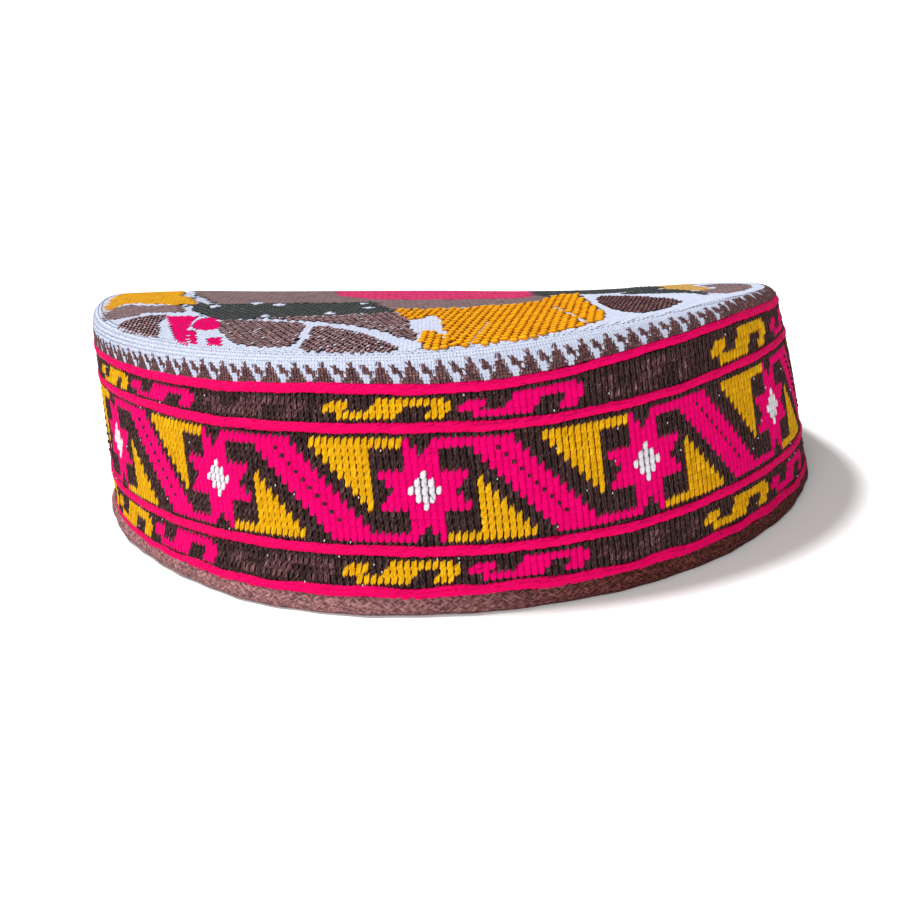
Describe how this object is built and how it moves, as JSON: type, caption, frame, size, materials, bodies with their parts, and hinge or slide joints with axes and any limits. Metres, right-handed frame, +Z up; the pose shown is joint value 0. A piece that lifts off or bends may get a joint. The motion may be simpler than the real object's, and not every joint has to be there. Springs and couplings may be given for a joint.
{
  "type": "pillbox cap",
  "caption": "Low round pillbox cap of quilted cloth with a flat crown, rolled top border, patterned side band, felted foot binding and an open hollow for the head.",
  "frame": {"origin": "middle of the cap's box, on the surface that the foot binding rests on", "axes": "+Z up through the crown, -Y to the front of the cap, +X to its right side in the picture"},
  "size_m": [0.1894, 0.1986, 0.0524],
  "materials": {
    "crown_cloth": "stitched cotton, matte",
    "rim_border_cloth": "white chain stitch, matte",
    "side_band_cloth": "dense coloured thread, soft sheen",
    "edge_binding_cloth": "brown felted wool, matte"
  },
  "bodies": {
    "root": {"crown": "crown_cloth", "rim_border": "rim_border_cloth", "side_band": "side_band_cloth", "edge_binding": "edge_binding_cloth"}
  },
  "joints": []
}
